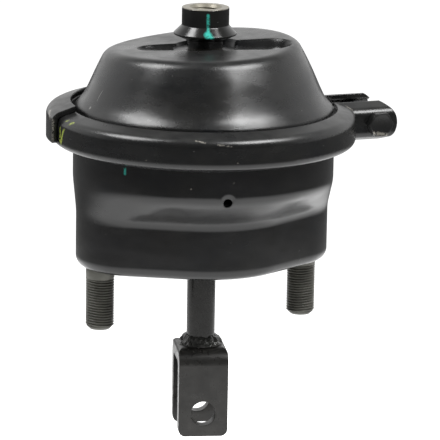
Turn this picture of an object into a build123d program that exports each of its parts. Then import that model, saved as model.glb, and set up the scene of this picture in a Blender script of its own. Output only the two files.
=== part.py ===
from build123d import *
import math
import os

os.makedirs("parts", exist_ok=True)

# Air brake chamber. Millimetres, +Z towards the air port, origin at the centre of the
# mounting face, +X along the stud line towards the clamp bolt, -Y towards the vent hole.

# Sheet metal and fits
SHEET = 3.0
SEAT_GAP = 0.02          # pieces of the housing that only touch
RUNNING_GAP = 0.05       # push rod in its guide and seal
RUBBER_GAP = 0.3         # push plate under the diaphragm
AROUND = 300.0           # side of a cutting box that is wider than the part
THROUGH = 60.0           # length of a cutter that goes right through a wall

# Mounting studs and port
STUD_SPACING = 120.65
STUD_R = 8.0
STUD_BELOW_FACE = 35.0
STUD_SHOULDER_R = 8.6
STUD_SHANK_R = 7.4
STUD_HEAD_R = 12.5
STUD_HEAD_HEIGHT = 6.0
STUD_HEAD_FLAT_X = 65.6
STUD_TIP_CHAMFER = 2.3
STUD_HEAD_CHAMFER = 1.0

# Lower housing: round above, rounded diamond below
HOUSING_R = 73.0
BLEND_TOP_Z = 48.5
DIAMOND_SIDE_R = 51.0
DIAMOND_SIDE_Y = 3.4
DIAMOND_END_R = 35.7
DIAMOND_END_X = 37.2
BLEND_LOW_Z = 31.5
BLEND_EASE = 3.0
BOTTOM_CORNER_R = 6.0
FLANGE_ROOT_Z = 60.0
FLANGE_OUTER_BEND_R = 1.2
FLANGE_INNER_BEND_R = 2.5
GUIDE_HOLE_R = 13.0
VENT_R = 2.5
VENT_DIMPLE_R = 5.0
VENT_DIMPLE_DEPTH = 1.2
VENT_Z = 48.2
VENT_AZIMUTHS = (-99.4, 80.6)
PLATE_THICKNESS = 4.0
PLATE_MARGIN = 0.4
PLATE_HOLE_R = 19.0
PLATE_SLOT_LENGTH = 20.0
PLATE_SLOT_CLEARANCE = 0.1

# Joint of the two housings inside the clamp
JOINT_Z = 77.3
LEG_SLOPE = math.tan(math.radians(18.0))
LEG_STACK = SHEET / math.cos(math.radians(18.0))
FLANGE_WIDTH = 7.0
FLANGE_R = HOUSING_R + FLANGE_WIDTH
FLANGE_EDGE_R = 0.8
CLAMP_OVER_FLANGE = 5.0
CLAMP_R = FLANGE_R + CLAMP_OVER_FLANGE
CLAMP_LIP_CLEARANCE = 1.7
CLAMP_LIP_R = HOUSING_R + CLAMP_LIP_CLEARANCE
CLAMP_LIP_HEIGHT = 11.0
CLAMP_TOP_BEND_R = 5.0
CLAMP_LOW_BEND_R = 4.0
CLAMP_TOP_INSIDE_R = 2.0
CLAMP_LOW_INSIDE_R = 1.8

# Pressure housing
DOME_INSET = 1.2
DOME_BASE_R = HOUSING_R - DOME_INSET
DOME_FLANGE_TOP_Z = 88.1
DOME_FLANGE_BEND_R = 2.0
# Wall of the dome from the bead up: inset from the base, height and lean from the vertical
DOME_WALL_POINTS = ((0.8, 89.9, 45.0), (4.7, 95.0, 29.0), (9.2, 104.5, 23.5), (17.6, 121.5, 29.5))
DOME_WALL = tuple((DOME_BASE_R - inset, z, lean) for inset, z, lean in DOME_WALL_POINTS)
CROWN_FRONT_Z = 122.4
CROWN_REAR_Z = 123.6
CROWN_REAR_SLOPE = 0.125
CROWN_AZIMUTH = -21.0
CROWN_EDGE_R = 7.0
CROWN_OVERRUN = 136.0
CROWN_CUT_REACH = 70.0
CROWN_CUT_HEIGHT = 60.0
SEAT_R = 17.5
SEAT_Z = 120.3
TROUGH_Z = 119.2
TROUGH_SLOPE = 20.0
TROUGH_LOW_R = 9.5
TROUGH_LOW_AT = (-28.0, -3.0)
TROUGH_HIGH_R = 12.0
TROUGH_HIGH_AT = (34.0, -6.0)
TROUGH_FLOOR_R = 2.4
RECESS_HEIGHT = 20.0
SEAT_FLARE = 8.0

# Inlet boss
BOSS_TOP_Z = 144.4
BOSS_R = 13.2
BOSS_FLARE_Z = 134.3
COLLAR_R = 17.55
COLLAR_Z = 129.1
COLLAR_EDGE = 0.9
NECK_TOP_R = 10.7
NECK_TOP_Z = 126.2
NECK_R = 9.5
BOSS_BOTTOM_Z = 115.4
PORT_R = 7.19
PORT_DEPTH = 17.0
PORT_MOUTH_R = 9.4
PORT_MOUTH_DEPTH = 1.6
PASSAGE_R = 5.0
DRILL_POINT = 1.3
BOSS_BLEND_R = 0.8
BOSS_EDGE_R = 0.6
COLLAR_EDGE_R = 0.3
BOSS_WELD_GAP = 0.05
BOSS_WELD_LEG = 3.0
BOSS_WELD_HEIGHT = 1.8
BOSS_WELD_TOE = 1.2

# Clamp lugs, bolt and hooked end
LUG_FACE_Y = 22.0
BOLT_OUT = 11.5
BOLT_X = CLAMP_R + BOLT_OUT
LUG_END_MARGIN = 11.5
LUG_END_X = BOLT_X + LUG_END_MARGIN
LUG_CORNER_R = 12.0
LUG_ROOT = 16.0          # how far inside the ring's outside the lug's straight section starts
LUG_BLEND_ANGLE = 6.0
LUG_CAVITY_REACH = 40.0
LUG_WINDOW_X = CLAMP_R - 35.0
GAP_HALF = 11.0
HOOK_START = 126.0
HOOK_FULL = 129.5
HOOK_END = 178.0
HOOK_BOTTOM_Z = 71.5
TONGUE_END = 130.2
HOOK_RISE = 3.15         # the hook lies over the other half's end
BOLT_R = 4.0
BOLT_HOLE_R = 4.5
HEX_FLATS = 13.0
HEAD_HEIGHT = 5.3
NUT_HEIGHT = 6.5
BOLT_TAIL = 3.0
BOLT_TIP_CHAMFER = 0.8
HEX_CONE_FOOT = 3.2
HEX_CONE_TOP = 0.2
HEX_CONE_OVER = 3.4

# Moving parts and spring
DIAPHRAGM_THICKNESS = 3.0
DIAPHRAGM_TOP_Z = 113.0
DIAPHRAGM_CLEARANCE = 0.8
DIAPHRAGM_CONE_R = DOME_BASE_R - 7.05
DIAPHRAGM_CONE_Z = 91.3
DIAPHRAGM_TAPER = 0.485
DIAPHRAGM_BEND_Z = 89.4
DIAPHRAGM_BEAD_R = FLANGE_R - 7.4
DIAPHRAGM_BEAD_FOOT_Z = 76.4
DIAPHRAGM_BEAD_TOP_Z = 81.2
PLATE_TOP_Z = DIAPHRAGM_TOP_Z - DIAPHRAGM_THICKNESS - RUBBER_GAP
PLATE_UNDER_Z = PLATE_TOP_Z - SHEET
PUSH_PLATE_R = 46.0
PUSH_PLATE_LIP = 5.0
PUSH_PLATE_CORNER_R = 4.5
PUSH_PLATE_INSIDE_R = 2.0
PLATE_WELD_LEG = 4.5
PLATE_WELD_WIDTH = 4.2
PLATE_WELD_TOE = (1.8, 3.4)
ROD_R = 8.0
ROD_BOTTOM_Z = -55.6
ROD_EDGE = 0.4
SPRING_WIRE_R = 2.6
SPRING_LOW_R = 36.0
SPRING_HIGH_R = 27.0
SPRING_TURNS = 6.5
SPRING_FLAT_TURNS = 0.8
SPRING_STEPS = 12
SPRING_COIL_GAP = 0.1
GUIDE_FLANGE_R = 18.4
GUIDE_FLANGE_HEIGHT = 3.0
GUIDE_FOOT_Z = 0.2
GUIDE_EDGE_R = 0.3
SEAL_LIP_WIDTH = 2.5
SEAL_LIP_HEIGHT = 1.6
SEAL_HEIGHT = 4.0
SEAL_R = 15.5
RETAINER_SHEET = 1.2
RETAINER_ROD_GAP = 1.5
RETAINER_BEND_R = 0.8

# Clevis
CLEVIS_AZIMUTH = -103.8
CLEVIS_TOP_Z = -48.0
CLEVIS_BOTTOM_Z = -97.9
CLEVIS_HALF_WIDTH = 13.9
CLEVIS_HALF_SPAN = 18.75
CLEVIS_HALF_GAP = 11.75
CLEVIS_BASE = 8.0
CLEVIS_BEND_R = 9.0
CLEVIS_INSIDE_R = 3.5
CLEVIS_TOP_CORNER_R = 3.0
CLEVIS_FOOT_R = 4.0
PIN_R = 7.0
PIN_Z = -84.7
WELD_TOP_Z = -42.5
WELD_R = 13.0
WELD_SHOULDER = (1.4, 2.8, 1.6)
WELD_TOP_WIDTH = 0.8


def profile(points):
    """Closed face in the XZ plane from (x, z, corner radius) points."""
    corners = [(x, z) for x, z, _ in points]
    face = Plane.XZ * make_face(Polyline(*corners, close=True))
    for x, z, radius in points:
        if radius:
            corner = face.vertices().sort_by_distance((x, 0, z))[0]
            face = fillet(corner, radius)
    return face


def turned(points, start=0.0, sweep=360.0):
    """Solid of revolution about Z from (r, z, corner radius) points."""
    solid = revolve(profile(points), Axis.Z, sweep)
    return solid.rotate(Axis.Z, start)


def polar(radius, azimuth, z=0.0):
    angle = math.radians(azimuth)
    return (radius * math.cos(angle), radius * math.sin(angle), z)


def between(low, high, share):
    return low + (high - low) * share


def diamond(inset, roundness=0.0):
    """Plan of the lower housing drawn in by inset: a rounded diamond, or nearly a circle."""
    side = between(DIAMOND_SIDE_R, HOUSING_R, roundness) - inset
    end = between(DIAMOND_END_R, HOUSING_R, roundness) - inset
    side_y = between(DIAMOND_SIDE_Y, 0, roundness)
    end_x = between(DIAMOND_END_X, 0, roundness)
    rounds = [Pos(0, side_y) * Circle(side), Pos(0, -side_y) * Circle(side)]
    rounds += [Pos(end_x, 0) * Circle(end), Pos(-end_x, 0) * Circle(end)]
    edges = [edge for circle in rounds for edge in circle.edges()]
    return make_hull(edges)


def ring_like(plan, radius, z):
    """Circle at height z, split at the azimuths where the plan's outline has its vertices."""
    azimuths = sorted(math.degrees(math.atan2(v.Y, v.X)) % 360 for v in plan.vertices())
    arcs = []
    for start, end in zip(azimuths, azimuths[1:] + [azimuths[0] + 360]):
        arcs.append(ThreePointArc(*[polar(radius, a, z) for a in (start, (start + end) / 2, end)]))
    return make_face(arcs)


def drawn_form(inset):
    """The drawn lower housing as a solid: a round cup eased down into a diamond foot."""
    wall = HOUSING_R - inset
    lift = inset * (math.sqrt(2) - 1)
    top = BLEND_TOP_Z + lift
    low = BLEND_LOW_Z + lift
    ease = BLEND_EASE
    share = ease / (top - low)
    steps = [(low - ease, 0.0), (low, share / 4), (low + ease, share),
             (top - ease, 1 - share), (top, 1 - share / 4)]
    sections = [Pos(0, 0, z) * diamond(inset, roundness) for z, roundness in steps]
    sections.append(ring_like(diamond(inset, 1 - share / 4), wall, top + ease))
    blend = loft(sections)
    cup = Pos(0, 0, top + ease) * Cylinder(wall, JOINT_Z - top - ease, align=(Align.CENTER, Align.CENTER, Align.MIN))
    foot = extrude(Pos(0, 0, inset) * diamond(inset), low - ease - inset)
    foot = fillet(foot.edges().group_by(Axis.Z)[0], BOTTOM_CORNER_R - inset)
    return cup + blend + foot


def leg_height(radius):
    """Distance from the joint plane to the inside of a clamp leg at this radius."""
    return CLAMP_LIP_HEIGHT - LEG_STACK - (radius - CLAMP_LIP_R) * LEG_SLOPE


def non_pressure_housing():
    body = drawn_form(0) - drawn_form(SHEET)
    body -= Pos(0, 0, JOINT_Z) * Box(AROUND, AROUND, 2 * (CLAMP_LIP_HEIGHT + CLAMP_LOW_BEND_R))
    inner = HOUSING_R - SHEET
    seat = JOINT_Z - leg_height(HOUSING_R) + SEAT_GAP
    edge = JOINT_Z - leg_height(FLANGE_R) + SEAT_GAP
    top = seat + LEG_STACK - (HOUSING_R - inner) * LEG_SLOPE
    body += turned([
        (inner, FLANGE_ROOT_Z, 0), (HOUSING_R, FLANGE_ROOT_Z, 0), (HOUSING_R, seat, FLANGE_OUTER_BEND_R),
        (FLANGE_R, edge, FLANGE_EDGE_R), (FLANGE_R, edge + LEG_STACK, FLANGE_EDGE_R),
        (inner, top, FLANGE_INNER_BEND_R)])
    body -= Pos(0, 0, SHEET / 2) * Cylinder(GUIDE_HOLE_R + SEAT_GAP, 4 * SHEET)
    for side in (-1, 1):
        body -= Pos(side * STUD_SPACING / 2, 0, 0) * Cylinder(STUD_SHOULDER_R + SEAT_GAP, 4 * SHEET)
    for azimuth in VENT_AZIMUTHS:
        outward = Plane(origin=polar(HOUSING_R, azimuth, VENT_Z), z_dir=polar(1, azimuth))
        dimple = Cone(VENT_R, VENT_DIMPLE_R, VENT_DIMPLE_DEPTH, align=(Align.CENTER, Align.CENTER, Align.MAX))
        body -= outward * dimple
        body -= outward * Cylinder(VENT_R, 4 * SHEET)
    return body


def stud_solid(side):
    """Stud with its shoulder in the floor and its clipped head on the reinforcement plate."""
    plate_top = SHEET + PLATE_THICKNESS
    stud = Cylinder(STUD_R, STUD_BELOW_FACE, align=(Align.CENTER, Align.CENTER, Align.MAX))
    stud = chamfer(stud.edges().group_by(Axis.Z)[0], STUD_TIP_CHAMFER)
    stud += Cylinder(STUD_SHOULDER_R, SHEET, align=(Align.CENTER, Align.CENTER, Align.MIN))
    into_head = plate_top + STUD_HEAD_CHAMFER
    stud += Cylinder(STUD_SHANK_R, into_head, align=(Align.CENTER, Align.CENTER, Align.MIN))
    head = Cylinder(STUD_HEAD_R, STUD_HEAD_HEIGHT, align=(Align.CENTER, Align.CENTER, Align.MIN))
    head = chamfer(head.edges().group_by(Axis.Z)[-1], STUD_HEAD_CHAMFER)
    flat_at = STUD_HEAD_FLAT_X - STUD_SPACING / 2
    head -= Pos(flat_at + THROUGH / 2, 0, 0) * Box(THROUGH, THROUGH, THROUGH)
    stud += Pos(0, 0, plate_top + SEAT_GAP) * head
    if side < 0:
        stud = stud.rotate(Axis.Z, 180)
    return Pos(side * STUD_SPACING / 2, 0, 0) * stud


def reinforcement_plate():
    plan = diamond(SHEET + PLATE_MARGIN)
    plate = extrude(Pos(0, 0, SHEET + SEAT_GAP) * plan, PLATE_THICKNESS - SEAT_GAP)
    plate = fillet(plate.edges().group_by(Axis.Z)[0], BOTTOM_CORNER_R - SHEET - PLATE_MARGIN)
    plate -= Pos(0, 0, SHEET) * Cylinder(PLATE_HOLE_R, 4 * PLATE_THICKNESS)
    slot_r = STUD_SHANK_R + PLATE_SLOT_CLEARANCE
    depth = 4 * PLATE_THICKNESS
    for side in (-1, 1):
        slot = Cylinder(slot_r, depth)
        slot += Pos(side * PLATE_SLOT_LENGTH / 2, 0, 0) * Box(PLATE_SLOT_LENGTH, 2 * slot_r, depth)
        plate -= Pos(side * STUD_SPACING / 2, 0, SHEET) * slot
    return plate


def recess_tool(inset):
    """Cutter for the stamped recess: a trough across the crown and the round boss seat."""
    radii = [TROUGH_LOW_R + inset, TROUGH_HIGH_R + inset]
    low, high = [Pos(*at) * Circle(r) for at, r in zip((TROUGH_LOW_AT, TROUGH_HIGH_AT), radii)]
    plan = make_hull(list(low.edges()) + list(high.edges()))
    trough = extrude(Pos(0, 0, TROUGH_Z - inset) * plan, RECESS_HEIGHT, taper=-TROUGH_SLOPE)
    trough = fillet(trough.edges().group_by(Axis.Z)[0], TROUGH_FLOOR_R)
    trough -= Pos(0, 0, TROUGH_Z) * Cylinder(SEAT_R - inset, THROUGH)
    radius = SEAT_R + inset
    seat = Cone(radius, radius + SEAT_FLARE, RECESS_HEIGHT, align=(Align.CENTER, Align.CENTER, Align.MIN))
    return trough + Pos(0, 0, SEAT_Z - inset) * seat


def crown_cutter(inset):
    """Everything above the crown: level in front, rising to one side at the rear."""
    far = CROWN_CUT_REACH
    ends_of_cut = []
    for y, z, slope in ((-far, CROWN_FRONT_Z, 0.0), (far, CROWN_REAR_Z, CROWN_REAR_SLOPE)):
        ends = [(x, y, z - inset + slope * x) for x in (-far, far)]
        tops = [(x, y, z + CROWN_CUT_HEIGHT) for x in (far, -far)]
        ends_of_cut.append(make_face(Polyline(*ends, *tops, close=True)))
    return loft(ends_of_cut, ruled=True)


def dome_wall(inset):
    """Drawn wall of the dome, flared at its foot, as a solid; inset moves it in by the sheet."""
    points, leans = [], []
    for radius, height, lean in DOME_WALL:
        angle = math.radians(lean)
        points.append((radius - inset * math.cos(angle), height - inset * math.sin(angle)))
        leans.append((-math.sin(angle), math.cos(angle)))
    wall = Spline(*points, tangents=leans)
    top_r, top_z = points[-1]
    rise = CROWN_OVERRUN - top_z
    tip = (top_r - rise * math.tan(math.radians(DOME_WALL[-1][2])), CROWN_OVERRUN)
    foot = points[0]
    rest = Polyline(points[-1], tip, (0, CROWN_OVERRUN), (0, foot[1]), foot)
    return revolve(Plane.XZ * make_face([wall] + rest.edges()), Axis.Z)


def crown_form(inset):
    """The pressure housing as a solid: flared wall, twisted crown and its stamped recess."""
    base = DOME_BASE_R - inset
    foot_r, foot_z, lean = DOME_WALL[0]
    angle = math.radians(lean)
    foot = (foot_r - inset * math.cos(angle), foot_z - inset * math.sin(angle))
    cup = turned([(0, JOINT_Z, 0), (base, JOINT_Z, 0), (base, foot[1] - (base - foot[0]), 0),
                  (foot[0], foot[1], 0), (0, foot[1], 0)])
    cup += dome_wall(inset)
    cup -= crown_cutter(inset)
    rim = cup.faces().sort_by(Axis.Z)[-1].edges()
    cup = fillet(rim, CROWN_EDGE_R - inset)
    cup -= recess_tool(inset)
    return cup.rotate(Axis.Z, CROWN_AZIMUTH)


def pressure_housing():
    body = crown_form(0) - crown_form(SHEET)
    body -= Pos(0, 0, JOINT_Z) * Box(AROUND, AROUND, 2 * (DOME_FLANGE_TOP_Z - JOINT_Z - CLAMP_LOW_INSIDE_R))
    inner = DOME_BASE_R - SHEET
    seat = JOINT_Z + leg_height(DOME_BASE_R) - SEAT_GAP
    edge = JOINT_Z + leg_height(FLANGE_R) - SEAT_GAP
    under = seat - LEG_STACK + (DOME_BASE_R - inner) * LEG_SLOPE
    body += turned([
        (inner, DOME_FLANGE_TOP_Z, 0), (inner, under, DOME_FLANGE_BEND_R),
        (FLANGE_R, edge - LEG_STACK, FLANGE_EDGE_R), (FLANGE_R, edge, FLANGE_EDGE_R),
        (DOME_BASE_R, seat, DOME_FLANGE_BEND_R), (DOME_BASE_R, DOME_FLANGE_TOP_Z, 0)])
    body -= Pos(0, 0, SEAT_Z) * Cylinder(NECK_R + SEAT_GAP, THROUGH)
    return body


def inlet_boss():
    bore_end = BOSS_TOP_Z - PORT_DEPTH
    return turned([
        (PASSAGE_R, BOSS_BOTTOM_Z, 0), (NECK_R, BOSS_BOTTOM_Z, 0), (NECK_R, SEAT_Z, 0),
        (NECK_TOP_R, NECK_TOP_Z, BOSS_BLEND_R), (COLLAR_R, COLLAR_Z, COLLAR_EDGE_R),
        (COLLAR_R, COLLAR_Z + COLLAR_EDGE, COLLAR_EDGE_R), (BOSS_R, BOSS_FLARE_Z, BOSS_BLEND_R),
        (BOSS_R, BOSS_TOP_Z, BOSS_EDGE_R), (PORT_MOUTH_R, BOSS_TOP_Z, 0),
        (PORT_R, BOSS_TOP_Z - PORT_MOUTH_DEPTH, 0), (PORT_R, bore_end, 0), (PASSAGE_R, bore_end - DRILL_POINT, 0)])


def boss_weld():
    top = SEAT_Z - SHEET - BOSS_WELD_GAP
    inner = NECK_R + SEAT_GAP
    low = top - BOSS_WELD_HEIGHT
    return turned([(inner, low, 0), (NECK_R + BOSS_WELD_TOE, low, 0), (NECK_R + BOSS_WELD_LEG, top, 0),
                   (inner, top, 0)])


def section(place, proud=0.0, filled=False):
    """Clamp section as a face; place(depth, height) gives the points in space."""
    depth = CLAMP_R - CLAMP_LIP_R
    rise = proud * LEG_STACK / SHEET
    top = CLAMP_LIP_HEIGHT + rise
    web_top = top - (depth + proud) * LEG_SLOPE
    outer = [(depth, top), (-proud, web_top), (-proud, -web_top), (depth, -top)]
    in_top = top - LEG_STACK
    in_web = in_top - (depth - (SHEET - proud)) * LEG_SLOPE
    inner = [(depth, -in_top), (SHEET - proud, -in_web), (SHEET - proud, in_web), (depth, in_top)]
    points = outer + ([] if filled else inner)
    radii = [0, CLAMP_TOP_BEND_R, CLAMP_LOW_BEND_R, 0, 0, CLAMP_LOW_INSIDE_R, CLAMP_TOP_INSIDE_R, 0]
    face = make_face(Polyline(*[place(d, h) for d, h in points], close=True))
    for (d, h), radius in zip(points, radii):
        if radius:
            corner = face.vertices().sort_by_distance(place(d, h))[0]
            face = fillet(corner, radius)
    return face


def cavity(place, reach):
    """The space inside the clamp section, open towards the flanges, as a face."""
    depth = CLAMP_R - CLAMP_LIP_R
    in_top = CLAMP_LIP_HEIGHT - LEG_STACK
    in_web = in_top - (depth - SHEET) * LEG_SLOPE
    far = in_top + (reach - depth) * LEG_SLOPE
    points = [(SHEET, -in_web), (SHEET, in_web), (reach, far), (reach, -far)]
    face = make_face(Polyline(*[place(d, h) for d, h in points], close=True))
    for d, h in points[:2]:
        corner = face.vertices().sort_by_distance(place(d, h))[0]
        face = fillet(corner, CLAMP_LOW_INSIDE_R)
    return face


def on_ring(depth, height):
    return (CLAMP_R - depth, 0, JOINT_Z + height)


def ring_arc(start, end, proud=0.0, filled=False):
    arc = revolve(section(on_ring, proud, filled), Axis.Z, end - start)
    return arc.rotate(Axis.Z, start)


def on_lug(depth, height):
    return (CLAMP_R - LUG_ROOT, -LUG_FACE_Y + depth, JOINT_Z + height)


def lug_end():
    """Band half's end at the bolt: the V-section turned outward into a lug."""
    span = math.degrees(math.asin(LUG_FACE_Y / CLAMP_R)) + LUG_BLEND_ANGLE
    length = LUG_END_X - CLAMP_R + LUG_ROOT
    shape = ring_arc(-span, 0, filled=True) + extrude(section(on_lug, filled=True), length, dir=(1, 0, 0))
    inside = revolve(cavity(on_ring, LUG_CAVITY_REACH), Axis.Z, span + 2).rotate(Axis.Z, -span - 1)
    inside += extrude(cavity(on_lug, LUG_CAVITY_REACH), length + LUG_BLEND_ANGLE, dir=(1, 0, 0))
    shape -= inside
    shape -= Pos(0, 0, JOINT_Z) * Cylinder(CLAMP_LIP_R, THROUGH)
    reach = LUG_END_X - LUG_WINDOW_X
    window = Plane.XZ * Pos(LUG_WINDOW_X + reach / 2, JOINT_Z) * Rectangle(reach, 2 * CLAMP_LIP_HEIGHT + 2)
    window = fillet(window.vertices().group_by(Axis.X)[-1], LUG_CORNER_R)
    shape &= extrude(window, THROUGH, both=True)
    shape -= Pos(0, AROUND / 2 - GAP_HALF, JOINT_Z) * Box(AROUND, AROUND, THROUGH)
    shape -= Pos(BOLT_X, -LUG_FACE_Y, JOINT_Z) * Cylinder(BOLT_HOLE_R, LUG_FACE_Y, rotation=(90, 0, 0))
    return shape, span


def clamp_band_front():
    lug, span = lug_end()
    return ring_arc(TONGUE_END - 360, -span) + lug


def clamp_band_rear():
    lug, span = lug_end()
    band = mirror(lug, Plane.XZ) + ring_arc(span, HOOK_START)
    flat = section(on_ring)
    raised = section(on_ring, HOOK_RISE)
    joggle = loft([flat.rotate(Axis.Z, HOOK_START), raised.rotate(Axis.Z, HOOK_FULL)], ruled=True)
    hook = joggle + ring_arc(HOOK_FULL, HOOK_END, HOOK_RISE)
    hook -= Pos(0, 0, HOOK_BOTTOM_Z - THROUGH / 2) * Box(AROUND, AROUND, THROUGH)
    return band + hook


def hexagon_piece(height):
    """Hexagon head or nut with its corners taken off by a cone."""
    prism = extrude(RegularPolygon(HEX_FLATS / 2, 6, major_radius=False), height)
    cone = Cone(HEX_FLATS / 2 + HEX_CONE_FOOT + height, HEX_FLATS / 2 - HEX_CONE_TOP, height + HEX_CONE_OVER,
                align=(Align.CENTER, Align.CENTER, Align.MIN))
    return prism & cone


def clamp_bolt():
    head = hexagon_piece(HEAD_HEIGHT)
    length = 2 * LUG_FACE_Y + NUT_HEIGHT + BOLT_TAIL
    shank = Cylinder(BOLT_R, length, align=(Align.CENTER, Align.CENTER, Align.MAX))
    shank = chamfer(shank.edges().group_by(Axis.Z)[0], BOLT_TIP_CHAMFER)
    bolt = Pos(0, 0, SEAT_GAP) * (head + shank)
    return Plane(origin=(BOLT_X, -LUG_FACE_Y, JOINT_Z), z_dir=(0, -1, 0)) * bolt


def clamp_nut():
    nut = hexagon_piece(NUT_HEIGHT) - Cylinder(BOLT_R + SEAT_GAP, THROUGH)
    return Plane(origin=(BOLT_X, LUG_FACE_Y + SEAT_GAP, JOINT_Z), z_dir=(0, 1, 0)) * nut


def diaphragm():
    """Hat-shaped rubber diaphragm with its beaded rim between the two flanges."""
    t = DIAPHRAGM_THICKNESS
    slope = math.hypot(1, DIAPHRAGM_TAPER)
    wall, side = DIAPHRAGM_CONE_R, DOME_BASE_R - SHEET - DIAPHRAGM_CLEARANCE
    top_r = wall - (DIAPHRAGM_TOP_Z - DIAPHRAGM_CONE_Z) * DIAPHRAGM_TAPER
    inner_r = top_r - t * slope + t * DIAPHRAGM_TAPER
    bead_in, bead_out = DIAPHRAGM_BEAD_R, FLANGE_R - 2 * RUBBER_GAP
    half_in, half_out = [leg_height(r) - LEG_STACK - 2 * SEAT_GAP for r in (bead_in, bead_out)]
    return turned([
        (0, DIAPHRAGM_TOP_Z, 0), (0, DIAPHRAGM_TOP_Z - t, 0), (inner_r, DIAPHRAGM_TOP_Z - t, 5.0),
        (wall - t * slope, DIAPHRAGM_CONE_Z - 0.5, 2.0), (side - t, DIAPHRAGM_BEND_Z - 2.4, 2.0),
        (side - t, DIAPHRAGM_BEAD_FOOT_Z + t / 2, 4.0), (bead_in, DIAPHRAGM_BEAD_FOOT_Z, 0),
        (bead_in, JOINT_Z - half_in, 0.6), (bead_out, JOINT_Z - half_out, 0.6), (bead_out, JOINT_Z + half_out, 0.6),
        (bead_in, JOINT_Z + half_in, 0.6), (bead_in - t / 2, DIAPHRAGM_BEAD_TOP_Z, 0.5),
        (side, DIAPHRAGM_BEAD_TOP_Z, 1.2), (side, DIAPHRAGM_BEND_Z - 1.6, 2.0), (wall, DIAPHRAGM_CONE_Z, 2.0),
        (top_r, DIAPHRAGM_TOP_Z, 8.0)])


def push_plate():
    return turned([
        (ROD_R + SEAT_GAP, PLATE_UNDER_Z, 0), (PUSH_PLATE_R - SHEET, PLATE_UNDER_Z, PUSH_PLATE_INSIDE_R),
        (PUSH_PLATE_R - SHEET, PLATE_TOP_Z - PUSH_PLATE_LIP - SHEET, 0),
        (PUSH_PLATE_R, PLATE_TOP_Z - PUSH_PLATE_LIP - SHEET, 0), (PUSH_PLATE_R, PLATE_TOP_Z, PUSH_PLATE_CORNER_R),
        (ROD_R + SEAT_GAP, PLATE_TOP_Z, 0)])


def push_rod():
    length = PLATE_TOP_Z - ROD_BOTTOM_Z
    rod = Cylinder(ROD_R, length, align=(Align.CENTER, Align.CENTER, Align.MIN))
    return Pos(0, 0, ROD_BOTTOM_Z) * chamfer(rod.edges().group_by(Axis.Z)[-1], ROD_EDGE)


def plate_weld():
    inner = ROD_R + SEAT_GAP
    top = PLATE_UNDER_Z - SEAT_GAP
    width, depth = PLATE_WELD_TOE
    return turned([(inner, top, 0), (inner, top - PLATE_WELD_LEG, 0), (inner + width, top - depth, 0),
                   (inner + PLATE_WELD_WIDTH, top, 0)])


def return_spring():
    """Conical wire spring between the reinforcement plate and the push plate."""
    low = SHEET + PLATE_THICKNESS + SPRING_WIRE_R + SEAT_GAP
    high = PLATE_UNDER_Z - SPRING_WIRE_R - SEAT_GAP
    flat = SPRING_FLAT_TURNS
    close_pitch = 2 * SPRING_WIRE_R + SPRING_COIL_GAP
    open_rise = high - low - 2 * close_pitch * flat
    points = []
    for i in range(int(SPRING_TURNS * SPRING_STEPS) + 1):
        turn = i / SPRING_STEPS
        share = min(max((turn - flat) / (SPRING_TURNS - 2 * flat), 0.0), 1.0)
        close_turns = min(turn, flat) + max(turn - SPRING_TURNS + flat, 0.0)
        z = low + close_turns * close_pitch + share * open_rise
        radius = SPRING_LOW_R + (SPRING_HIGH_R - SPRING_LOW_R) * turn / SPRING_TURNS
        points.append(Vector(*polar(radius, 360 * turn, z)))
    path = Spline(*points)
    start = Plane(origin=path @ 0, z_dir=path % 0)
    return sweep(start * Circle(SPRING_WIRE_R), path=path)


def rod_guide():
    bore = ROD_R + RUNNING_GAP
    floor, top = SHEET + SEAT_GAP, SHEET + GUIDE_FLANGE_HEIGHT
    return turned([(bore, GUIDE_FOOT_Z, GUIDE_EDGE_R), (GUIDE_HOLE_R, GUIDE_FOOT_Z, GUIDE_EDGE_R),
                   (GUIDE_HOLE_R, floor, 0), (GUIDE_FLANGE_R, floor, GUIDE_EDGE_R),
                   (GUIDE_FLANGE_R, top, GUIDE_EDGE_R), (bore, top, 0)])


def dust_seal():
    bore = ROD_R + RUNNING_GAP
    base = SHEET + GUIDE_FLANGE_HEIGHT + SEAT_GAP
    top = base + SEAL_HEIGHT
    return turned([(bore + SEAL_LIP_WIDTH, base, 0), (SEAL_R, base, 0), (SEAL_R, top, 0), (bore, top, 0),
                   (bore, top - SEAL_LIP_HEIGHT, 0)])


def seal_retainer():
    base = SHEET + GUIDE_FLANGE_HEIGHT + SEAT_GAP
    under = base + SEAL_HEIGHT + SEAT_GAP
    top = under + RETAINER_SHEET
    inner = SEAL_R + SEAT_GAP
    hole = ROD_R + RETAINER_ROD_GAP
    return turned([(inner, base, 0), (GUIDE_FLANGE_R, base, 0), (GUIDE_FLANGE_R, base + RETAINER_SHEET, 0),
                   (inner + RETAINER_SHEET, base + RETAINER_SHEET, 0), (inner + RETAINER_SHEET, top, RETAINER_BEND_R),
                   (hole, top, 0), (hole, under, 0), (inner, under, 0)])


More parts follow.
